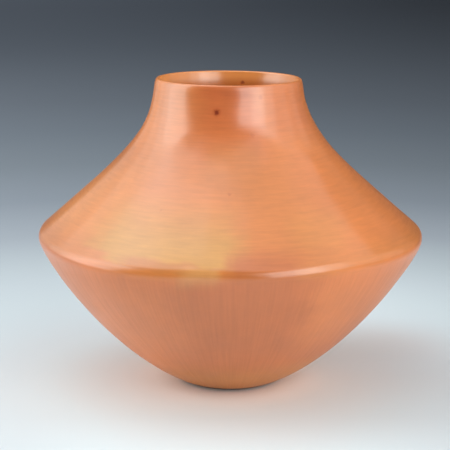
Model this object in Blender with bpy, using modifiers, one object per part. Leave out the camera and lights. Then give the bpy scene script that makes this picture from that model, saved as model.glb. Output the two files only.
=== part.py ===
"""A hand-coiled pottery jar with a sharp shoulder ridge, a flared neck and a thinned round lip.

The wall is built as the potter builds it: a base pressed in a mould, then coils of clay luted one on
another up to the rim. Each course is its own solid, and a slanting seam joins it to the one below.
The jar stands on its foot at the origin with +Z up its axis. Lengths are metres, angles are degrees.
"""

import math

import bpy
import numpy as np

# Outer form, from the foot up
JAR_HEIGHT = 0.1682
FOOT_RADIUS = 0.0244
RIDGE_RADIUS = 0.1050
RIDGE_HEIGHT = 0.0829
RIDGE_ROUNDING = 0.0060
MOUTH_RADIUS = 0.0401

# Slope of the outer wall above the horizontal, where each stretch begins or ends
FOOT_SLOPE = 21.3
BOWL_SLOPE = 72.0
SHOULDER_SLOPE = 41.2
NECK_SLOPE = 87.0

# How far each slope holds before the wall begins to turn away from it
FOOT_SWEEP = 0.0442
BOWL_SWEEP = 0.0111
SHOULDER_SWEEP = 0.0560
NECK_SWEEP = 0.0287

# Thickness of the fired wall
FLOOR_THICKNESS = 0.0062
FOOT_WALL = 0.0066
RIDGE_WALL = 0.0052
NECK_WALL = 0.0062
LIP_THICKNESS = 0.0026
LIP_TAPER = 0.0150

# Courses, measured along the outer face
BASE_REACH = 0.0300
BOWL_COILS = 4
RIDGE_COIL = 0.0220
SHOULDER_COILS = 4
NECK_LENGTH = 0.0420
NECK_COILS = 2
RIM_COIL = 0.0120

# Joints between courses: a film of slurry on a slope that falls towards the inside
SEAM_FILM = 0.0003
SEAM_SLANT = 35.0
COIL_CROWN = 0.0005

# Fineness of the turned surfaces
TURN_STEPS = 72
FACET_LENGTH = 0.0120
FACET_TURN = 15.0
LIP_FACETS = 6
CURVE_SAMPLES = 240

# Colours as seen, 0 to 255
BASE_COLOUR = (196, 136, 98)
BOWL_COLOUR = (200, 130, 97)
RIDGE_COLOUR = (228, 152, 108)
SHOULDER_COLOUR = (232, 160, 112)
NECK_COLOUR = (206, 118, 74)
CLAY_ROUGHNESS = 0.38


def heading(slope):
    """Unit vector that climbs at a slope, away from the axis up to 90 degrees and towards it past that."""
    return np.array([math.cos(math.radians(slope)), math.sin(math.radians(slope))])


def swept(start, start_slope, start_sweep, end_sweep, end_slope, end):
    """Smooth curve between two points of the profile that leaves and arrives at the given slopes."""
    t = np.linspace(0.0, 1.0, CURVE_SAMPLES)[:, None]
    pulled_out = start + start_sweep * heading(start_slope)
    pulled_in = end - end_sweep * heading(end_slope)
    return (
        (1 - t) ** 3 * start
        + 3 * (1 - t) ** 2 * t * pulled_out
        + 3 * (1 - t) * t**2 * pulled_in
        + t**3 * end
    )


def outer_face():
    """Radius and height of the outer face, foot to lip, and where the ridge's arc begins and ends."""
    shoulder_heading = 180 - SHOULDER_SLOPE
    neck_heading = 180 - NECK_SLOPE
    foot = np.array([FOOT_RADIUS, 0.0])
    ridge_centre = np.array([RIDGE_RADIUS - RIDGE_ROUNDING, RIDGE_HEIGHT])
    facing = np.linspace(BOWL_SLOPE - 90, shoulder_heading - 90, CURVE_SAMPLES)
    ridge = np.array([ridge_centre + RIDGE_ROUNDING * heading(angle) for angle in facing])
    lip_half = LIP_THICKNESS / 2
    lip_drop = lip_half * (1 - math.cos(math.radians(NECK_SLOPE)))
    wall_top = np.array([MOUTH_RADIUS, JAR_HEIGHT - lip_drop])
    bowl = swept(foot, FOOT_SLOPE, FOOT_SWEEP, BOWL_SWEEP, BOWL_SLOPE, ridge[0])
    neck = swept(ridge[-1], shoulder_heading, SHOULDER_SWEEP, NECK_SWEEP, neck_heading, wall_top)
    points = np.vstack([bowl, ridge[1:], neck[1:]])
    return points, len(bowl) - 1, len(bowl) + len(ridge) - 2


class Wall:
    """The jar's wall, addressed by the distance along its outer face from the foot."""

    def __init__(self):
        self.points, ridge_start, ridge_end = outer_face()
        steps = np.diff(self.points, axis=0)
        self.reach = np.concatenate([[0.0], np.cumsum(np.hypot(steps[:, 0], steps[:, 1]))])
        self.length = self.reach[-1]
        self.ridge = (self.reach[ridge_start] + self.reach[ridge_end]) / 2
        climb = np.gradient(self.points, self.reach, axis=0)
        self.slope = np.unwrap(np.arctan2(climb[:, 1], climb[:, 0]))
        turned = np.concatenate([[0.0], np.cumsum(np.abs(np.diff(self.slope)))])
        self.facets = self.reach / FACET_LENGTH + turned / math.radians(FACET_TURN)

    def outer(self, reach):
        return np.array([np.interp(reach, self.reach, axis) for axis in self.points.T])

    def along(self, reach):
        slope = np.interp(reach, self.reach, self.slope)
        return np.array([math.cos(slope), math.sin(slope)])

    def inward(self, reach):
        along_r, along_z = self.along(reach)
        return np.array([-along_z, along_r])

    def thickness(self, reach):
        """Even change from foot to ridge to neck, then a taper that steepens up to the lip."""
        taper_start = self.length - LIP_TAPER
        wall = np.interp(reach, [0, self.ridge, taper_start], [FOOT_WALL, RIDGE_WALL, NECK_WALL])
        share = np.clip((reach - taper_start) / LIP_TAPER, 0, 1)
        steepening = share * share * (3 - share) / 2
        return wall + (LIP_THICKNESS - wall) * steepening

    def inner(self, reach, crown=0.0):
        return self.outer(reach) + self.inward(reach) * (self.thickness(reach) + crown)

    def stations(self, start, end):
        """Distances from start to end, closer together where the wall turns, at least two facets."""
        first, last = np.interp([start, end], self.reach, self.facets)
        count = max(2, round(last - first))
        return np.interp(np.linspace(first, last, count + 1), self.facets, self.reach)

    def seam(self, reach, side):
        """Where one side of a seam meets the outer and inner faces. Side is -1 under it and 1 over it."""
        half_film = SEAM_FILM / 2 / math.cos(math.radians(SEAM_SLANT))
        fall = self.thickness(reach) * math.tan(math.radians(SEAM_SLANT))
        return reach + side * half_film, reach - fall + side * half_film

    def outer_side(self, start, end):
        return [self.outer(reach) for reach in self.stations(start, end)]

    def inner_side(self, start, end, crown):
        """Inner face of one course, which swells by the crown half way up."""
        swell = [math.sin(math.pi * (r - start) / (end - start)) for r in self.stations(start, end)]
        return [self.inner(r, crown * s) for r, s in zip(self.stations(start, end), swell)]


def burnished_clay(name, colour):
    """Stone-polished slip over fired clay."""
    material = bpy.data.materials.new(name)
    material.use_nodes = True
    shader = material.node_tree.nodes["Principled BSDF"]
    linear = [((c / 255 + 0.055) / 1.055) ** 2.4 for c in colour]
    shader.inputs["Base Color"].default_value = (*linear, 1.0)
    shader.inputs["Roughness"].default_value = CLAY_ROUGHNESS
    shader.inputs["Metallic"].default_value = 0.0
    material.diffuse_color = (*linear, 1.0)
    return material


def turned(name, profile, closed, material, jar, collection):
    """Turns a profile of (radius, height) points about the axis. Its outer side runs from top to bottom."""
    level = profile[0][1]
    points = [(radius, 0.0, height - level) for radius, height in profile]
    edges = [(i, i + 1) for i in range(len(points) - 1)]
    if closed:
        edges.append((len(points) - 1, 0))
    outline = bpy.data.meshes.new(name + "_profile")
    outline.from_pydata(points, edges, [])
    piece = bpy.data.objects.new(name, outline)
    collection.objects.link(piece)
    screw = piece.modifiers.new("turn", "SCREW")
    screw.steps = screw.render_steps = TURN_STEPS
    screw.use_merge_vertices = True
    screw.merge_threshold = 0.00001
    body = bpy.data.meshes.new_from_object(piece.evaluated_get(bpy.context.evaluated_depsgraph_get()))
    piece.modifiers.clear()
    piece.data = body
    body.name = name
    body.shade_smooth()
    body.set_sharp_from_angle(angle=math.radians(FACET_TURN * 2))
    body.materials.append(material)
    bpy.data.meshes.remove(outline)
    piece.parent = jar
    piece.location = (0.0, 0.0, level)
    return piece


def base_profile(wall):
    """The pressed base: a flat foot, the first stretch of the bowl and the floor inside."""
    outer_top, inner_top = wall.seam(BASE_REACH, -1)
    floor_edge = wall.inner(0.0)
    floor_middle = np.array([floor_edge[0] / 2, (floor_edge[1] + 3 * FLOOR_THICKNESS) / 4])
    floor = [np.array([0.0, FLOOR_THICKNESS]), floor_middle]
    inside = wall.inner_side(0.0, inner_top, 0.0)
    outside = wall.outer_side(0.0, outer_top)[::-1]
    return floor + inside + outside + [np.array([0.0, 0.0])]


def coil_profile(wall, start, end, crown):
    """One course between two seams."""
    outer_low, inner_low = wall.seam(start, 1)
    outer_high, inner_high = wall.seam(end, -1)
    outside = wall.outer_side(outer_low, outer_high)[::-1]
    return outside + wall.inner_side(inner_low, inner_high, crown)


def rim_profile(wall, start):
    """The last course, closed by a round lip."""
    outer_low, inner_low = wall.seam(start, 1)
    outside = wall.outer_side(outer_low, wall.length)[::-1]
    inside = wall.inner_side(inner_low, wall.length, 0.0)
    lip_centre = (outside[0] + inside[-1]) / 2
    across, up = wall.inward(wall.length), wall.along(wall.length)
    turns = np.linspace(math.pi, 0.0, LIP_FACETS + 1)[1:-1]
    half = LIP_THICKNESS / 2
    lip = [lip_centre + half * (up * math.sin(a) - across * math.cos(a)) for a in turns]
    return outside + inside + lip


def courses(wall):
    """Name, lower seam, upper seam, inner crown and section of each coil between the base and the rim."""
    ridge_low = wall.ridge - RIDGE_COIL / 2
    ridge_high = wall.ridge + RIDGE_COIL / 2
    neck_low = wall.length - NECK_LENGTH
    rim_low = wall.length - RIM_COIL
    sections = (
        ("bowl", BASE_REACH, ridge_low, BOWL_COILS, COIL_CROWN),
        ("ridge", ridge_low, ridge_high, 1, 0.0),
        ("shoulder", ridge_high, neck_low, SHOULDER_COILS, COIL_CROWN),
        ("neck", neck_low, rim_low, NECK_COILS, 0.0),
    )
    for section, low, high, count, crown in sections:
        seams = np.linspace(low, high, count + 1)
        for i in range(count):
            number = f"_{i + 1}" if count > 1 else ""
            yield f"{section}_coil{number}", seams[i], seams[i + 1], crown, section


def main():
    for old in list(bpy.data.objects):
        bpy.data.objects.remove(old, do_unlink=True)
    collection = bpy.data.collections.new("pottery_jar")
    bpy.context.scene.collection.children.link(collection)
    jar = bpy.data.objects.new("jar_axis", None)
    collection.objects.link(jar)

    clays = {
        "base": burnished_clay("base_clay", BASE_COLOUR),
        "bowl": burnished_clay("bowl_clay", BOWL_COLOUR),
        "ridge": burnished_clay("ridge_clay", RIDGE_COLOUR),
        "shoulder": burnished_clay("shoulder_clay", SHOULDER_COLOUR),
        "neck": burnished_clay("neck_clay", NECK_COLOUR),
    }
    wall = Wall()
    turned("base", base_profile(wall), False, clays["base"], jar, collection)
    for name, start, end, crown, section in courses(wall):
        turned(name, coil_profile(wall, start, end, crown), True, clays[section], jar, collection)
    turned("rim_coil", rim_profile(wall, wall.length - RIM_COIL), True, clays["neck"], jar, collection)


main()
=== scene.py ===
"""Looks of the hand-coiled pottery jar: its burnished clay wall, a pale studio floor and soft lamps.

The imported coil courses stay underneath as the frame. One continuous wall stands for them here, as the
potter scraped and polished it. It follows the same driving sizes, and then takes the marks of hand work:
it leans, tilts, sags and wavers a little. Lengths are metres and angles are degrees. Azimuth runs round
the jar: 0 faces the camera and it grows towards +X.
"""

import math

import bmesh
import bpy
import numpy as np
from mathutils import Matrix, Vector, kdtree, noise


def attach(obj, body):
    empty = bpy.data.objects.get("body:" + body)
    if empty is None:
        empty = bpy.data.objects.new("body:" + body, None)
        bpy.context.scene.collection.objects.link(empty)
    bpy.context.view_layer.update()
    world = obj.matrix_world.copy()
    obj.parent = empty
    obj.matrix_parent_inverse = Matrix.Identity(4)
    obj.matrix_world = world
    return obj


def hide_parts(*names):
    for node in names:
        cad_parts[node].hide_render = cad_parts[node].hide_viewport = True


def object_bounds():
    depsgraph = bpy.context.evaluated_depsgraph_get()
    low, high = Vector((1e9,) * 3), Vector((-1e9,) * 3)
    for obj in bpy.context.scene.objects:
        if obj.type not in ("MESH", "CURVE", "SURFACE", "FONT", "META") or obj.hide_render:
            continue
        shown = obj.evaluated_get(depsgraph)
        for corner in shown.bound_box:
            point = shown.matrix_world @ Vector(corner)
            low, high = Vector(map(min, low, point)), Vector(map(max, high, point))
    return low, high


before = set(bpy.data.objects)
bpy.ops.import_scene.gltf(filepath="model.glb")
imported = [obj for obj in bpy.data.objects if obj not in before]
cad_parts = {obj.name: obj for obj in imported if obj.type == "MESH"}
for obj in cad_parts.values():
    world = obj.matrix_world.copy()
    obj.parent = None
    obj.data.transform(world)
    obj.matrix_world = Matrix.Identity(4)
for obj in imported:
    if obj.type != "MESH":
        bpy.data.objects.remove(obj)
cad_low, cad_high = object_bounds()

# Form, in the driving sizes of the solids. The frame gives the greatest radius and the height
RIDGE_RADIUS = (cad_high[0] - cad_low[0]) / 2
JAR_HEIGHT = cad_high[2]
FOOT_RADIUS = 0.0244
RIDGE_HEIGHT = 0.0829
RIDGE_ROUNDING = 0.0060
MOUTH_RADIUS = 0.0401

# Slope of the outer wall where each stretch begins or ends, and how far it holds before the wall turns
FOOT_SLOPE, BOWL_SLOPE, SHOULDER_SLOPE, NECK_SLOPE = 21.3, 72.0, 41.2, 87.0
FOOT_SWEEP, BOWL_SWEEP, SHOULDER_SWEEP, NECK_SWEEP = 0.0442, 0.0111, 0.0560, 0.0287

# Thickness of the floor and of the wall, which thins to the lip over the length of the taper
FLOOR_THICKNESS = 0.0062
FOOT_WALL, RIDGE_WALL, NECK_WALL = 0.0066, 0.0052, 0.0062
LIP_THICKNESS, LIP_TAPER = 0.0026, 0.0150

# Fineness of the turned wall
TURN_STEPS = 310
OUTER_FACET, INNER_FACET = 0.0016, 0.0030
FACET_TURN = 5.0
LIP_FACETS = 14
FLOOR_FACETS = 8
CURVE_SAMPLES = 600
MERGE_DISTANCE = 0.00001

# Hand work: how far the jar departs from a turned form. A lean is a shift to the left. A tilt is a fall
# per metre, to the right above the ridge and towards the camera at the mouth. Each sets in between two
# heights
SHOULDER_LEAN, SHOULDER_LEAN_START, SHOULDER_LEAN_END = 0.00035, 0.105, 0.130
NECK_LEAN, NECK_LEAN_START, NECK_LEAN_END = 0.00062, 0.138, 0.162
UPPER_TILT, TILT_START, TILT_END = 0.0066, 0.058, 0.084
MOUTH_TILT, MOUTH_TILT_START, MOUTH_TILT_END = 0.0025, 0.150, 0.166

# Dips of the ridge line: depth, azimuth and breadth. They die away at a height below and one above it
RIDGE_SAGS = ((0.0019, -32, 33), (0.0009, 5, 12), (-0.0007, 38, 13))
SAG_BOTTOM, SAG_TOP = 0.020, 0.135

# Wear: the ridge is rubbed flat in front, and the lip is rounded on its outer edge
RIDGE_WEAR, WEAR_AZIMUTH, WEAR_BREADTH, WEAR_HEIGHT = 0.0011, -5, 13, 0.0055
LIP_WEAR, LIP_WEAR_DEPTH = 0.00070, 0.0045

# Unevenness of the wall: size of the noise, its depth and the part of the noise that is taken. The
# dimples are outside, and the scrapes are inside and drawn out round the jar. The underside is flat, and
# the waver dies away close to the axis
WAVER_SIZE, WAVER_DEPTH, WAVER_PART = 0.045, 0.00025, 3.7
DIMPLE_SIZE, DIMPLE_DEPTH, DIMPLE_PART = 0.014, 0.00008, 11.2
SCRAPE_SIZE, SCRAPE_DEPTH, SCRAPE_PART = 0.010, 0.00030, 5.1
SCRAPE_SQUEEZE = 2.2
FLAT_FOOT_END = 0.012
CALM_RADIUS = 0.0066

# Camera of the photograph. The lens and the sensor are in millimetres
LENS, SENSOR = 113.17, 36.0
CAMERA_DISTANCE, CAMERA_PITCH = 0.7807, 11.83
AIM_SIDE, AIM_HEIGHT = -0.00292, 0.0869


def heading(slope):
    """Unit vector that climbs at a slope, away from the axis up to 90 degrees and towards it past that."""
    return np.array([math.cos(math.radians(slope)), math.sin(math.radians(slope))])


def ease(value, start, end):
    """0 up to start and 1 from end, smooth between them. The end may be lower than the start."""
    share = np.clip((value - start) / (end - start), 0, 1)
    return share * share * (3 - 2 * share)


def swept(start, start_slope, start_sweep, end_sweep, end_slope, end):
    """Smooth curve between two points of the profile that leaves and arrives at the given slopes."""
    t = np.linspace(0.0, 1.0, CURVE_SAMPLES)[:, None]
    pulled_out = start + start_sweep * heading(start_slope)
    pulled_in = end - end_sweep * heading(end_slope)
    return (
        (1 - t) ** 3 * start
        + 3 * (1 - t) ** 2 * t * pulled_out
        + 3 * (1 - t) * t**2 * pulled_in
        + t**3 * end
    )


def outer_face():
    """Radius and height of the outer face, foot to lip, and the index of the ridge's middle."""
    shoulder_heading = 180 - SHOULDER_SLOPE
    foot = np.array([FOOT_RADIUS, 0.0])
    ridge_centre = np.array([RIDGE_RADIUS - RIDGE_ROUNDING, RIDGE_HEIGHT])
    facing = np.linspace(BOWL_SLOPE - 90, shoulder_heading - 90, CURVE_SAMPLES)
    ridge = np.array([ridge_centre + RIDGE_ROUNDING * heading(angle) for angle in facing])
    lip_drop = LIP_THICKNESS / 2 * (1 - math.cos(math.radians(NECK_SLOPE)))
    wall_top = np.array([MOUTH_RADIUS, JAR_HEIGHT - lip_drop])
    bowl = swept(foot, FOOT_SLOPE, FOOT_SWEEP, BOWL_SWEEP, BOWL_SLOPE, ridge[0])
    neck = swept(ridge[-1], shoulder_heading, SHOULDER_SWEEP, NECK_SWEEP, 180 - NECK_SLOPE, wall_top)
    return np.vstack([bowl, ridge[1:], neck[1:]]), len(bowl) + len(ridge) // 2


class Wall:
    """The jar's wall, addressed by the distance along its outer face from the foot."""

    def __init__(self):
        self.points, ridge_middle = outer_face()
        self.reach = np.concatenate([[0.0], np.cumsum(np.hypot(*np.diff(self.points, axis=0).T))])
        self.length = self.reach[-1]
        self.ridge = self.reach[ridge_middle]
        climb = np.gradient(self.points, self.reach, axis=0)
        self.slope = np.unwrap(np.arctan2(climb[:, 1], climb[:, 0]))
        turned = np.concatenate([[0.0], np.cumsum(np.abs(np.diff(self.slope)))])
        self.turns = turned / math.radians(FACET_TURN)

    def outer(self, reach):
        return np.column_stack([np.interp(reach, self.reach, axis) for axis in self.points.T])

    def inward(self, reach):
        slope = np.interp(reach, self.reach, self.slope)
        return np.column_stack([-np.sin(slope), np.cos(slope)])

    def thickness(self, reach):
        """Even change from foot to ridge to neck, then a taper that steepens up to the lip."""
        taper_start = self.length - LIP_TAPER
        wall = np.interp(reach, [0, self.ridge, taper_start], [FOOT_WALL, RIDGE_WALL, NECK_WALL])
        share = np.clip((reach - taper_start) / LIP_TAPER, 0, 1)
        return wall + (LIP_THICKNESS - wall) * share * share * (3 - share) / 2

    def inner(self, reach):
        return self.outer(reach) + self.inward(reach) * self.thickness(reach)[:, None]

    def stations(self, facet):
        """Distances from foot to lip, about a facet apart and closer together where the wall turns."""
        facets = self.reach / facet + self.turns
        return np.interp(np.linspace(0, facets[-1], round(facets[-1]) + 1), facets, self.reach)


def round_lip(outer_end, inner_end):
    """Half circle from the inner face over to the outer one, without its ends."""
    centre = (outer_end + inner_end) / 2
    across = (outer_end - centre) / (LIP_THICKNESS / 2)
    up = np.array([-across[1], across[0]])
    turns = np.linspace(math.pi, 0, LIP_FACETS + 1)[1:-1]
    return [centre + LIP_THICKNESS / 2 * (across * math.cos(a) + up * math.sin(a)) for a in turns]


def wall_profile():
    """Points (radius, height) from the floor's middle up the inside, over the lip and down to the foot's
    middle, and for each point how far it belongs to the inside, from 0 to 1."""
    wall = Wall()
    outside = wall.outer(wall.stations(OUTER_FACET))
    inside = wall.inner(wall.stations(INNER_FACET))
    lip = round_lip(outside[-1], inside[-1])
    floor_edge, edge_height = inside[0]
    edge_rise = edge_height - FLOOR_THICKNESS
    floor_shares = np.linspace(0, 1, FLOOR_FACETS, endpoint=False)
    floor = [[floor_edge * s, FLOOR_THICKNESS + edge_rise * s * s] for s in floor_shares]
    foot = [[FOOT_RADIUS * s, 0.0] for s in np.linspace(1, 0, FLOOR_FACETS + 1)[1:]]
    profile = np.vstack([floor, inside, lip, outside[::-1], foot])
    belongs = np.concatenate([
        np.ones(len(floor) + len(inside)),
        np.linspace(1, 0, len(lip)),
        np.zeros(len(outside) + len(foot)),
    ])
    return profile, belongs


def noise_at(points, size, part):
    """Smooth noise from -1 to 1 at each point."""
    shift = Vector((part, part, part))
    return np.array([noise.noise(Vector(p) / size + shift) for p in points])


def sag_at(azimuth, height):
    """How far the wall has sunk with the ridge line."""
    sag = sum(depth * np.exp(-(((azimuth - middle) / breadth) ** 2)) for depth, middle, breadth in RIDGE_SAGS)
    below = ease(height, SAG_BOTTOM, RIDGE_HEIGHT)
    above = ease(height, SAG_TOP, RIDGE_HEIGHT)
    return sag * np.where(height < RIDGE_HEIGHT, below, above)


def worn_at(azimuth, height):
    """How much is rubbed off the outside."""
    sideways = (azimuth - WEAR_AZIMUTH) / WEAR_BREADTH
    upwards = (height - RIDGE_HEIGHT) / WEAR_HEIGHT
    lip_share = np.clip(1 - (JAR_HEIGHT - height) / LIP_WEAR_DEPTH, 0, 1)
    return RIDGE_WEAR * np.exp(-(sideways**2 + upwards**2)) + LIP_WEAR * lip_share**2


def hand_worked(mesh, inside):
    """Moves the turned wall's points as the potter's hands left them. The underside stays flat."""
    count = len(mesh.vertices)
    points = np.empty(count * 3)
    normals = np.empty(count * 3)
    mesh.vertices.foreach_get("co", points)
    mesh.vertex_normals.foreach_get("vector", normals)
    points, normals = points.reshape(-1, 3), normals.reshape(-1, 3)
    radius = np.hypot(points[:, 0], points[:, 1])
    height = points[:, 2].copy()
    azimuth = np.degrees(np.arctan2(points[:, 0], -points[:, 1]))
    outward = points[:, :2] / np.maximum(radius, CALM_RADIUS)[:, None]
    off_foot = ease(height, 0, FLAT_FOOT_END)

    waver = noise_at(points, WAVER_SIZE, WAVER_PART) * WAVER_DEPTH
    waver -= worn_at(azimuth, height) * (1 - inside)
    dimples = noise_at(points, DIMPLE_SIZE, DIMPLE_PART) * DIMPLE_DEPTH * (1 - inside)
    scrapes = noise_at(points * [1, 1, SCRAPE_SQUEEZE], SCRAPE_SIZE, SCRAPE_PART) * SCRAPE_DEPTH * inside
    scrapes *= ease(height, JAR_HEIGHT - LIP_THICKNESS, JAR_HEIGHT - LIP_TAPER)

    points[:, :2] += outward * (waver * off_foot)[:, None]
    points += normals * ((dimples + scrapes) * off_foot)[:, None]
    fall = UPPER_TILT * points[:, 0] * ease(height, TILT_START, TILT_END)
    points[:, 2] -= fall + sag_at(azimuth, height)
    points[:, 2] += MOUTH_TILT * points[:, 1] * ease(height, MOUTH_TILT_START, MOUTH_TILT_END)
    points[:, 0] -= SHOULDER_LEAN * ease(height, SHOULDER_LEAN_START, SHOULDER_LEAN_END)
    points[:, 0] -= NECK_LEAN * ease(height, NECK_LEAN_START, NECK_LEAN_END)
    mesh.vertices.foreach_set("co", points.ravel())
    mesh.update()


def jar_wall():
    """The whole wall as one closed mesh, with an attribute that tells its inside from its outside."""
    profile, belongs = wall_profile()
    outline = bpy.data.meshes.new("wall_profile")
    outline.from_pydata([(r, 0.0, z) for r, z in profile], [(i, i + 1) for i in range(len(profile) - 1)], [])
    wall = bpy.data.objects.new("burnished_wall", outline)
    bpy.context.scene.collection.objects.link(wall)
    screw = wall.modifiers.new("turn", "SCREW")
    screw.steps = screw.render_steps = TURN_STEPS
    screw.use_merge_vertices = True
    screw.merge_threshold = MERGE_DISTANCE
    mesh = bpy.data.meshes.new_from_object(wall.evaluated_get(bpy.context.evaluated_depsgraph_get()))
    wall.modifiers.clear()
    wall.data = mesh
    bpy.data.meshes.remove(outline)
    mesh.name = "burnished_wall"
    mesh.shade_smooth()

    tree = kdtree.KDTree(len(profile))
    for i, (radius, height) in enumerate(profile):
        tree.insert((radius, height, 0), i)
    tree.balance()
    nearest = [tree.find((math.hypot(v.co.x, v.co.y), v.co.z, 0))[1] for v in mesh.vertices]
    inside = belongs[nearest]
    mesh.attributes.new("inside", "FLOAT", "POINT").data.foreach_set("value", inside)
    hand_worked(mesh, inside)
    return wall


def tone(red, green, blue):
    """Linear colour for a shader, from a colour as seen, 0 to 255."""
    return (*(((c / 255 + 0.055) / 1.055) ** 2.4 for c in (red, green, blue)), 1.0)


class Finish:
    """A material whose nodes are added by short calls. Each call gives back the new node's output."""

    def __init__(self, name):
        self.material = bpy.data.materials.new(name)
        self.material.use_nodes = True
        self.tree = self.material.node_tree

    def join(self, value, socket):
        """Links a node's output to the socket, or sets the socket to a plain value."""
        if isinstance(value, bpy.types.NodeSocket):
            self.tree.links.new(value, socket)
        else:
            socket.default_value = value

    def surface(self, looks):
        """Sets the looks of the surface, by the names of the shader's inputs."""
        shader = self.tree.nodes["Principled BSDF"]
        for name, value in looks.items():
            self.join(value, shader.inputs[name])

    def node(self, kind, *values, output=0, **settings):
        """A node of that kind, with its first inputs in order and its settings by name."""
        node = self.tree.nodes.new("ShaderNode" + kind)
        for name, value in settings.items():
            setattr(node, name, value)
        for value, socket in zip(values, node.inputs):
            self.join(value, socket)
        return node.outputs[output]

    def math(self, operation, *values):
        return self.node("Math", *values, operation=operation)

    def mix(self, share, first, second, blend="MIX"):
        """Mix of two colours. The node's inputs have names in common, so they are picked by number."""
        node = self.tree.nodes.new("ShaderNodeMix")
        node.data_type = "RGBA"
        node.blend_type = blend
        for value, index in ((share, 0), (first, 6), (second, 7)):
            self.join(value, node.inputs[index])
        return node.outputs[2]

    def mix_values(self, share, first, second):
        """Mix of two numbers."""
        node = self.tree.nodes.new("ShaderNodeMix")
        for value, index in ((share, 0), (first, 2), (second, 3)):
            self.join(value, node.inputs[index])
        return node.outputs[0]

    def multiplied(self, colour, shade):
        """The colour, made darker or lighter by a number."""
        return self.mix(1.0, colour, self.node("CombineColor", shade, shade, shade), "MULTIPLY")

    def stretched(self, vector, *scale):
        return self.node("VectorMath", vector, scale, operation="MULTIPLY")

    def length(self, vector):
        return self.node("VectorMath", vector, output="Value", operation="LENGTH")

    def noise(self, vector, size, detail=2.0, roughness=0.5):
        """Noise from 0 to 1, about 0.5, whose features are about that size."""
        return self.node("TexNoise", vector, 0.0, 1.0 / size, detail, roughness)

    def ramp(self, value, low, high, at_low=0.0, at_high=1.0):
        """Smooth change from one value to another as the input goes from low to high."""
        return self.node("MapRange", value, low, high, at_low, at_high, interpolation_type="SMOOTHSTEP")

    def window(self, value, rise, fall):
        """1 between the two limits, with a soft edge at each, and 0 outside them."""
        return self.math("MULTIPLY", self.ramp(value, *rise), self.ramp(value, *fall))

    def wavering(self, value, position, size, depth, detail=3.0):
        """The value with smooth noise added, from minus half the depth to half the depth."""
        wave = self.math("SUBTRACT", self.noise(position, size, detail), 0.5)
        return self.math("MULTIPLY_ADD", wave, depth, value)


# Colours of the fired slip, as seen, 0 to 255. Deep in the mouth the slip is painted darker as shade, and the
# foot's edge has a painted contact shadow
SLIP = tone(200, 120, 57)
NECK_SLIP = tone(206, 121, 60)
BOWL_SLIP = tone(204, 114, 60)
FOOT_SLIP = tone(198, 126, 63)
MOUTH_SLIP = tone(224, 140, 66)
# Painted shade deeper inside the mouth, where less light reaches
MOUTH_PAINTED_SHADE = tone(190, 106, 44)
BARE_CLAY = tone(176, 112, 74)
# Painted contact shadow at the foot's lower edge
FOOT_CONTACT_SHADOW = tone(80, 46, 32)

# Heights between which one colour gives way to another. The strokes turn in the ridge's band too
RIDGE_BAND = (RIDGE_HEIGHT - 0.005, RIDGE_HEIGHT)
NECK_TONE = (0.105, 0.150)
FOOT_TONE = (0.008, 0.030)
MOUTH_SHADE_TONE = (JAR_HEIGHT - 0.0075, JAR_HEIGHT - 0.0015)
BARE_TONE = (JAR_HEIGHT - 0.020, JAR_HEIGHT - 0.030)
CONTACT_SHADOW_TONE = (0.0022, 0.0008)

# Marks of the fire and of the hand, and patches of painted light and shade: the neck and bowl are painted
# darker in front and lighter at the sides, as the soft boxes light them. Each fades in and out between two
# azimuths on either side, and between two heights over its base line on either side. The base line has a
# height in front and a climb per degree. Then come the colour and how much of it shows
FIRE_MARKS_AND_PAINTED_LIGHT = (
    # Painted shade: the front of the neck, between the soft boxes, darker in three patches
    ((-40, -12), (32, 12), (-0.018, 0.018), (0.070, 0.060), 0.1380, 0.0, tone(194, 102, 52), 0.95),
    ((-32, -14), (20, 8), (0.000, 0.008), (0.0098, 0.0070), 0.1580, 0.0, tone(184, 92, 45), 0.7),
    ((-18, -6), (24, 10), (-0.016, -0.004), (0.014, 0.004), 0.1290, 0.0, tone(191, 114, 52), 0.7),
    # Painted light on the sides of the shoulder and neck, strongest on the left where the soft boxes light
    # them most
    ((-150, -100), (-34, -66), (0.001, 0.014), (0.048, 0.022), 0.0860, 0.0, tone(224, 139, 66), 0.9),
    ((-150, -100), (-48, -72), (-0.010, 0.010), (0.060, 0.050), 0.1350, 0.0, tone(232, 137, 63), 0.9),
    ((22, 46), (150, 100), (0.000, 0.010), (0.120, 0.100), 0.0860, 0.0, tone(210, 122, 60), 0.8),
    ((18, 32), (80, 60), (-0.008, 0.008), (0.060, 0.050), 0.1420, 0.0, tone(202, 114, 60), 0.9),
    ((-56, -38), (9, -3), (-0.0012, 0.0012), (0.031, 0.004), 0.0862, -0.00008, tone(196, 138, 58), 1.0),
    ((-44, -34), (-4, -12), (-0.0012, 0.0008), (0.0070, 0.0030), 0.0860, 0.0, tone(196, 138, 58), 0.9),
    ((-34, -26), (-8, -14), (-0.0026, -0.0010), (0.0040, 0.0016), 0.0850, -0.00004, tone(190, 116, 56), 0.8),
    ((-18, -11), (-1, -6), (-0.0130, -0.0070), (0.001, -0.001), 0.0868, 0.0, tone(209, 147, 84), 0.8),
    ((14, 24), (48, 34), (0.000, 0.006), (0.022, 0.012), 0.0900, 0.0, tone(204, 130, 60), 0.5),
    ((-3, 3), (26, 14), (-0.0055, -0.0005), (0.016, 0.006), 0.0815, 0.0, tone(182, 101, 49), 0.9),
    # Painted light and shade on the bowl: darker in front, lighter on the left and on the right, as the side
    # light falls
    ((-24, -6), (30, 14), (0.000, 0.030), (0.070, 0.062), 0.0150, 0.0, tone(190, 104, 55), 0.85),
    ((-150, -100), (-14, -48), (-0.010, 0.010), (0.072, 0.066), 0.0150, 0.0, tone(224, 128, 69), 0.9),
    ((20, 34), (110, 80), (0.010, 0.040), (0.072, 0.066), 0.0150, 0.0, tone(219, 126, 66), 0.8),
)

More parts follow.
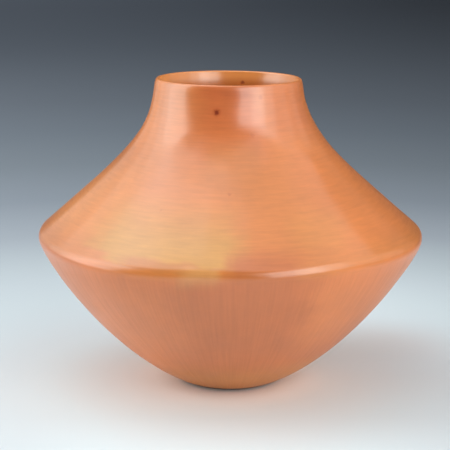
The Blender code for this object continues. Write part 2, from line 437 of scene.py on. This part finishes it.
# Pits and scorched specks: azimuth, height, radius, how dark, and the radius of the halo
SPECKS = (
    (-9.9, 0.1546, 0.0012, 0.95, 0.0030),
    (168.9, 0.1618, 0.0008, 0.70, 0.0017),
    (-0.6, 0.1170, 0.0006, 0.20, 0.0014),
    (-26.7, 0.1090, 0.0005, 0.15, 0.0012),
    (22.5, 0.1618, 0.0010, 0.15, 0.0020),
    (13.8, 0.1432, 0.0009, 0.12, 0.0018),
)
SPECK_DARK = tone(124, 40, 4)
SPECK_HALO = tone(174, 80, 34)
HALO_DARKNESS = 0.6
SPECK_EDGE_OUT, SPECK_EDGE_IN = 1.5, 0.5

# How the edges of the marks and specks wander: size of the waves, and how far they go
MARK_WAVES_ACROSS = (0.020, 14.0)
MARK_WAVES_UP = (0.012, 0.004)
SPECK_WAVES = (0.0012, 0.0018)

# Strokes of the polishing stone: breadth, detail and roughness of the noise. The draw is the scale of
# the noise along the stroke, and the contrast is how much lighter and darker the strokes make the slip
ROUND_STROKES, ROUND_DRAW, ROUND_CONTRAST = (0.0012, 2.0, 0.6), 0.08, 0.300
DOWN_STROKES, DOWN_DRAW, DOWN_CONTRAST = (0.0016, 2.0, 0.55), 0.06, 0.230

# Mottling: size, detail and roughness of the noise, and how its range is turned into shades
MOTTLE = (0.030, 5.0, 0.65)
MOTTLE_SHADES = (0.30, 0.70, 0.94, 1.04)

# Roughness: by the strokes, and then what the bowl below the ridge and the bare clay inside add
STROKE_ROUGHNESS = (0.25, 0.75, 0.33, 0.28)
BOWL_ROUGHNESS = (RIDGE_HEIGHT, RIDGE_HEIGHT - 0.010, 0.0, 0.12)
BARE_ROUGHNESS = 0.35

# Ripples of the polished surface
RIPPLE_SIZE, RIPPLE_DRAW, RIPPLE_STRENGTH, RIPPLE_DEPTH = 0.004, 0.3, 0.30, 0.00005

# Gloss: less where the wall turns away from the eye, on the bowl and at the foot, and inside only at the
# lip
GLOSS_BY_FACING = (0.50, 0.90, 1.0, 0.45)
GLOSS_BY_RIDGE = (RIDGE_HEIGHT - 0.006, RIDGE_HEIGHT + 0.007, 0.5, 1.0)
GLOSS_BY_FOOT = (0.005, 0.045)
GLOSS_BY_LIP = (JAR_HEIGHT - 0.0070, JAR_HEIGHT - 0.0040)
SLIP_IOR, GLOSS_IOR, GLOSS_ROUGHNESS = 1.5, 1.6, 0.16


class Place:
    """Where on the jar a point of the surface is, as outputs of nodes."""

    def __init__(self, finish):
        self.position = finish.node("TexCoord", output="Object")
        x, y, self.height = finish.node("SeparateXYZ", self.position).node.outputs
        turn = finish.math("ARCTAN2", x, finish.math("MULTIPLY", y, -1.0))
        self.azimuth = finish.math("MULTIPLY", turn, math.degrees(1))
        self.from_axis = finish.stretched(self.position, 1.0, 1.0, 0.0)
        self.radius = finish.length(self.from_axis)
        self.inside = finish.node("Attribute", output="Fac", attribute_name="inside")
        self.above_ridge = finish.ramp(self.height, *RIDGE_BAND)
        self.bare = finish.math("MULTIPLY", self.inside, finish.ramp(self.height, *BARE_TONE))


def burnish_strokes(finish, place):
    """Facets left by the polishing stone: they lie round the jar above the ridge and run down it below."""
    rings = finish.stretched(place.position, ROUND_DRAW, ROUND_DRAW, 1.0)
    outward = finish.node("VectorMath", place.from_axis, operation="NORMALIZE")
    round_jar = finish.stretched(outward, RIDGE_RADIUS, RIDGE_RADIUS, RIDGE_RADIUS)
    down_jar = finish.stretched(place.position, 0.0, 0.0, DOWN_DRAW)
    spokes = finish.node("VectorMath", round_jar, down_jar, operation="ADD")
    round_strokes = finish.noise(rings, *ROUND_STROKES)
    down_strokes = finish.noise(spokes, *DOWN_STROKES)
    return finish.mix_values(place.above_ridge, down_strokes, round_strokes)


def marked_by_fire_and_painted_light(finish, place, colour):
    """Lays the marks of the fire and of the hand, and patches of painted light and shade, over the colour."""
    azimuth = finish.wavering(place.azimuth, place.position, *MARK_WAVES_ACROSS)
    height = finish.wavering(place.height, place.position, *MARK_WAVES_UP)
    for left, right, low, high, base, climb, hue, strength in FIRE_MARKS_AND_PAINTED_LIGHT:
        base_line = finish.math("MULTIPLY_ADD", place.azimuth, climb, base)
        over_line = finish.window(finish.math("SUBTRACT", height, base_line), low, high)
        mask = finish.math("MULTIPLY", finish.window(azimuth, left, right), over_line)
        colour = finish.mix(finish.math("MULTIPLY", mask, strength), colour, hue)
    return colour


def speckled(finish, place, colour):
    """Adds small dark pits, each in a reddish halo."""
    for azimuth, height, size, darkness, halo in SPECKS:
        turn = finish.math("MULTIPLY", finish.math("SUBTRACT", place.azimuth, azimuth), math.radians(1))
        across = finish.math("MULTIPLY", turn, place.radius)
        up = finish.math("SUBTRACT", place.height, height)
        distance = finish.length(finish.node("CombineXYZ", across, up, 0.0))
        distance = finish.wavering(distance, place.position, *SPECK_WAVES)
        scorch = finish.ramp(distance, halo, size, 0.0, HALO_DARKNESS * darkness)
        pit = finish.ramp(distance, size * SPECK_EDGE_OUT, size * SPECK_EDGE_IN, 0.0, darkness)
        colour = finish.mix(pit, finish.mix(scorch, colour, SPECK_HALO), SPECK_DARK)
    return colour


def slip_colour(finish, place, strokes):
    """Fired slip outside and in the mouth, with patches of painted light and shade, painted shade deep in the
    mouth, a painted contact shadow round the foot and bare clay further inside.
    """
    upper = finish.mix(finish.ramp(place.height, *NECK_TONE), SLIP, NECK_SLIP)
    bowl = finish.mix(finish.ramp(place.height, *FOOT_TONE), FOOT_SLIP, BOWL_SLIP)
    # Painted shade: the mouth's slip darkens downwards inside
    mouth = finish.mix(finish.ramp(place.height, *MOUTH_SHADE_TONE), MOUTH_PAINTED_SHADE, MOUTH_SLIP)
    colour = marked_by_fire_and_painted_light(finish, place, finish.mix(place.above_ridge, bowl, upper))

    mottle = finish.ramp(finish.noise(place.position, *MOTTLE), *MOTTLE_SHADES)
    contrast = finish.ramp(place.above_ridge, 0.0, 1.0, DOWN_CONTRAST, ROUND_CONTRAST)
    shade = finish.math("MULTIPLY_ADD", finish.math("SUBTRACT", strokes, 0.5), contrast, mottle)
    colour = finish.multiplied(colour, shade)

    colour = speckled(finish, place, finish.mix(place.inside, colour, mouth))
    # Painted contact shadow along the foot's lower edge
    colour = finish.mix(finish.ramp(place.height, *CONTACT_SHADOW_TONE), colour, FOOT_CONTACT_SHADOW)
    return finish.mix(place.bare, colour, BARE_CLAY)


def slip_roughness(finish, place, strokes):
    """Smoother slip outside, duller on the bowl, and rough bare clay."""
    polish = finish.ramp(strokes, *STROKE_ROUGHNESS)
    polish = finish.math("ADD", polish, finish.ramp(place.height, *BOWL_ROUGHNESS))
    return finish.math("MULTIPLY_ADD", place.bare, BARE_ROUGHNESS, polish)


def slip_ripples(finish, place):
    """Shallow ripples, drawn out round the jar, as a direction for the surface to face."""
    waves = finish.noise(finish.stretched(place.position, RIPPLE_DRAW, RIPPLE_DRAW, 1.0), RIPPLE_SIZE)
    bump = finish.node("Bump", RIPPLE_STRENGTH, RIPPLE_DEPTH)
    finish.join(waves, bump.node.inputs["Height"])
    return bump


def slip_gloss(finish, place):
    """How much of the gloss lies over the slip."""
    facing = finish.ramp(finish.node("LayerWeight", output="Facing"), *GLOSS_BY_FACING)
    gloss = finish.math("MULTIPLY", facing, finish.ramp(place.height, *GLOSS_BY_RIDGE))
    gloss = finish.math("MULTIPLY", gloss, finish.ramp(place.height, *GLOSS_BY_FOOT))
    at_lip = finish.mix_values(place.inside, 1.0, finish.ramp(place.height, *GLOSS_BY_LIP))
    return finish.math("MULTIPLY", gloss, at_lip)


def burnished_slip():
    """Orange slip polished with a stone, marked by the fire and with painted light and shade, over bare
    scraped clay inside.
    """
    finish = Finish("burnished_slip")
    place = Place(finish)
    strokes = burnish_strokes(finish, place)
    finish.surface({
        "Base Color": slip_colour(finish, place, strokes),
        "Roughness": slip_roughness(finish, place, strokes),
        "Normal": slip_ripples(finish, place),
        "IOR": SLIP_IOR,
        "Coat Weight": slip_gloss(finish, place),
        "Coat IOR": GLOSS_IOR,
        "Coat Roughness": GLOSS_ROUGHNESS,
    })
    return finish.material


# Studio floor: its colours by distance from the jar's axis, as seen, 0 to 255. The first stop is a band of
# painted contact shadow at the foot, and the paper just past it is painted paler, as painted light round the
# foot. In front of the jar the distance counts for less, so the floor stays pale there
FLOOR_REACH, FLOOR_SIDES = 8.0, 96
FLOOR_TONES = (
    (0.025, tone(226, 210, 198)),
    (0.028, tone(250, 246, 243)),
    (0.045, tone(244, 246, 246)),
    (0.06, tone(223, 233, 235)),
    (0.10, tone(211, 226, 230)),
    (0.13, tone(204, 216, 220)),
    (0.20, tone(194, 207, 211)),
    (0.25, tone(185, 197, 202)),
    (0.30, tone(174, 186, 191)),
    (0.40, tone(150, 160, 168)),
    (0.55, tone(128, 138, 147)),
    (0.75, tone(115, 125, 133)),
    (1.00, tone(107, 117, 126)),
    (1.30, tone(103, 112, 121)),
    (3.60, tone(98, 106, 115)),
)
FRONT_PACE, FRONT_OFFSET = 0.15, -0.059
PAPER_ROUGHNESS, PAPER_SHEEN = 0.9, 0.1

# Light across the floor, which comes more from the left: two places from left to right and how bright
# each is, close to the jar and far behind it. Then the distances between which the far one takes over
NEAR_LEFT, NEAR_RIGHT = (-0.40, -0.08, 1.35, 1.0), (0.02, 0.20, 1.0, 0.92)
FAR_ACROSS = (-1.5, 1.5, 1.6, 0.4)
NEAR_END, FAR_START = 0.25, 0.80

# The jar's warm shadow behind it on the right, in two soft patches: middle, one over the radius along
# each axis, and tint
FLOOR_SHADES = (
    ((0.086, 0.070, 0.0), (13.0, 16.0, 0.0), (0.95, 0.86, 0.83, 1.0)),
    ((0.095, 0.020, 0.0), (13.0, 12.0, 0.0), (0.96, 0.90, 0.89, 1.0)),
)

# Light all round the jar, and what the camera and reflections see behind it
AMBIENT, AMBIENT_STRENGTH = tone(150, 152, 156), 1.3
BACKDROP = tone(60, 66, 73)

# Lamps as seen from the jar: azimuth and elevation of the middle, distance, breadth and height in
# degrees, brightness and colour. The soft boxes of one name lie over one another and differ in size, so
# their light fades towards its edge
LAMPS = (
    ("left_softbox_1", -108, 22, 1.35, 89, 54, 0.52, (255, 250, 244)),
    ("left_softbox_2", -97, 20, 1.30, 62, 52, 0.51, (255, 251, 246)),
    ("left_softbox_3", -91, 20, 1.25, 44, 50, 0.74, (255, 251, 246)),
    ("left_softbox_4", -84, 19, 1.20, 33, 48, 1.08, (255, 251, 246)),
    ("right_softbox_1", 66, 20, 1.55, 106, 56, 0.37, (255, 250, 244)),
    ("right_softbox_2", 56, 20, 1.50, 80, 53, 0.48, (255, 250, 244)),
    ("right_softbox_3", 44, 21, 1.45, 52, 52, 0.88, (255, 251, 246)),
    ("right_softbox_4", 36, 18, 1.00, 36, 47, 1.23, (255, 251, 246)),
    ("right_softbox_5", 43, 18, 1.00, 16, 44, 0.90, (255, 251, 246)),
    ("right_wall", 120, 30, 1.60, 40, 70, 0.12, (255, 250, 244)),
    ("overhead_softbox_1", -108, 71, 1.50, 50, 54, 0.61, (252, 252, 255)),
    ("overhead_softbox_2", -109, 70, 1.50, 43, 49, 0.61, (252, 252, 255)),
    ("overhead_softbox_3", -112, 67, 1.50, 28, 36, 0.67, (252, 252, 255)),
    ("right_ceiling", 86, 64, 1.60, 56, 45, 0.58, (250, 251, 255)),
    ("left_ceiling", -77, 51, 1.50, 36, 26, 0.28, (252, 252, 255)),
    ("front_ceiling", 0, 66, 1.60, 60, 24, 0.30, (250, 251, 255)),
)


def graded_paper():
    """Pale paper that darkens away from the jar, with painted light across it that is paler on the left and
    darker on the right, and painted shadow at the foot and behind the jar.
    """
    finish = Finish("graded_paper")
    position = finish.node("TexCoord", output="Object")
    across, along = finish.node("SeparateXYZ", position).node.outputs[:2]
    along = finish.math("MAXIMUM", along, finish.math("MULTIPLY_ADD", along, FRONT_PACE, FRONT_OFFSET))
    distance = finish.length(finish.node("CombineXYZ", across, along, 0.0))

    farthest = FLOOR_TONES[-1][0]
    ramp = finish.tree.nodes.new("ShaderNodeValToRGB")
    finish.join(finish.math("DIVIDE", distance, farthest), ramp.inputs[0])
    stops = ramp.color_ramp.elements
    while len(stops) < len(FLOOR_TONES):
        stops.new(1.0)
    for stop, (reach, colour) in zip(stops, FLOOR_TONES):
        stop.position = reach / farthest
        stop.color = colour

    # Painted light across the floor: paler on the left, darker on the right
    near = finish.math("MULTIPLY", finish.ramp(across, *NEAR_LEFT), finish.ramp(across, *NEAR_RIGHT))
    far = finish.ramp(across, *FAR_ACROSS)
    shade = finish.mix_values(finish.ramp(distance, NEAR_END, FAR_START), near, far)
    colour = finish.multiplied(ramp.outputs[0], shade)
    # Painted warm shadow of the jar, behind it on the right
    for middle, scale, tint in FLOOR_SHADES:
        offset = finish.node("VectorMath", position, middle, operation="SUBTRACT")
        share = finish.ramp(finish.length(finish.stretched(offset, *scale)), 1.0, 0.0)
        colour = finish.mix(share, colour, finish.mix(1.0, colour, tint, "MULTIPLY"))
    finish.surface({"Base Color": colour, "Roughness": PAPER_ROUGHNESS, "Specular IOR Level": PAPER_SHEEN})
    return finish.material


def studio_floor():
    """Wide level disc that the jar stands on."""
    mesh = bpy.data.meshes.new("studio_floor")
    shape = bmesh.new()
    bmesh.ops.create_circle(shape, cap_ends=True, segments=FLOOR_SIDES, radius=FLOOR_REACH)
    shape.to_mesh(mesh)
    shape.free()
    mesh.materials.append(graded_paper())
    floor = bpy.data.objects.new("studio_floor", mesh)
    bpy.context.scene.collection.objects.link(floor)


def studio_world():
    """Ambient light for the jar, and a plain dark backdrop for the camera and for reflections."""
    world = bpy.data.worlds.new("studio")
    bpy.context.scene.world = world
    world.use_nodes = True
    nodes, links = world.node_tree.nodes, world.node_tree.links
    ambient = nodes["Background"]
    ambient.inputs["Color"].default_value = AMBIENT
    ambient.inputs["Strength"].default_value = AMBIENT_STRENGTH
    backdrop = nodes.new("ShaderNodeBackground")
    backdrop.inputs["Color"].default_value = BACKDROP
    ray = nodes.new("ShaderNodeLightPath")
    seen = ray.outputs["Is Camera Ray"]
    for kind in ("Is Glossy Ray", "Is Transmission Ray"):
        either = nodes.new("ShaderNodeMath")
        either.operation = "MAXIMUM"
        links.new(seen, either.inputs[0])
        links.new(ray.outputs[kind], either.inputs[1])
        seen = either.outputs[0]
    mix = nodes.new("ShaderNodeMixShader")
    links.new(seen, mix.inputs[0])
    links.new(ambient.outputs[0], mix.inputs[1])
    links.new(backdrop.outputs[0], mix.inputs[2])
    links.new(mix.outputs[0], nodes["World Output"].inputs["Surface"])


def lamps():
    """Soft boxes and lit ceilings, hidden from the camera."""
    aim = Vector((0, 0, AIM_HEIGHT))
    for name, azimuth, elevation, distance, breadth, tallness, brightness, colour in LAMPS:
        light = bpy.data.lights.new(name, "AREA")
        light.shape = "RECTANGLE"
        light.size = 2 * distance * math.tan(math.radians(breadth / 2))
        light.size_y = 2 * distance * math.tan(math.radians(tallness / 2))
        light.energy = brightness * math.pi * light.size * light.size_y
        light.color = tone(*colour)[:3]
        lamp = bpy.data.objects.new(name, light)
        across, up = math.radians(azimuth), math.radians(elevation)
        away = Vector((math.sin(across) * math.cos(up), -math.cos(across) * math.cos(up), math.sin(up)))
        lamp.location = aim + away * distance
        lamp.rotation_euler = away.to_track_quat("Z", "Y").to_euler()
        lamp.visible_camera = False
        bpy.context.scene.collection.objects.link(lamp)


def camera():
    """Camera in front of the jar, level from side to side and looking down at it."""
    data = bpy.data.cameras.new("camera")
    data.lens, data.sensor_width = LENS, SENSOR
    view = bpy.data.objects.new("camera", data)
    pitch = math.radians(CAMERA_PITCH)
    back, up = CAMERA_DISTANCE * math.cos(pitch), CAMERA_DISTANCE * math.sin(pitch)
    view.location = (AIM_SIDE, -back, AIM_HEIGHT + up)
    view.rotation_euler = (math.pi / 2 - pitch, 0, 0)
    bpy.context.scene.collection.objects.link(view)
    bpy.context.scene.camera = view


wall = jar_wall()
wall.data.materials.append(burnished_slip())
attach(wall, "root")
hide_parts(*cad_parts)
studio_floor()
studio_world()
lamps()
camera()
bpy.context.scene.view_settings.view_transform = "Standard"
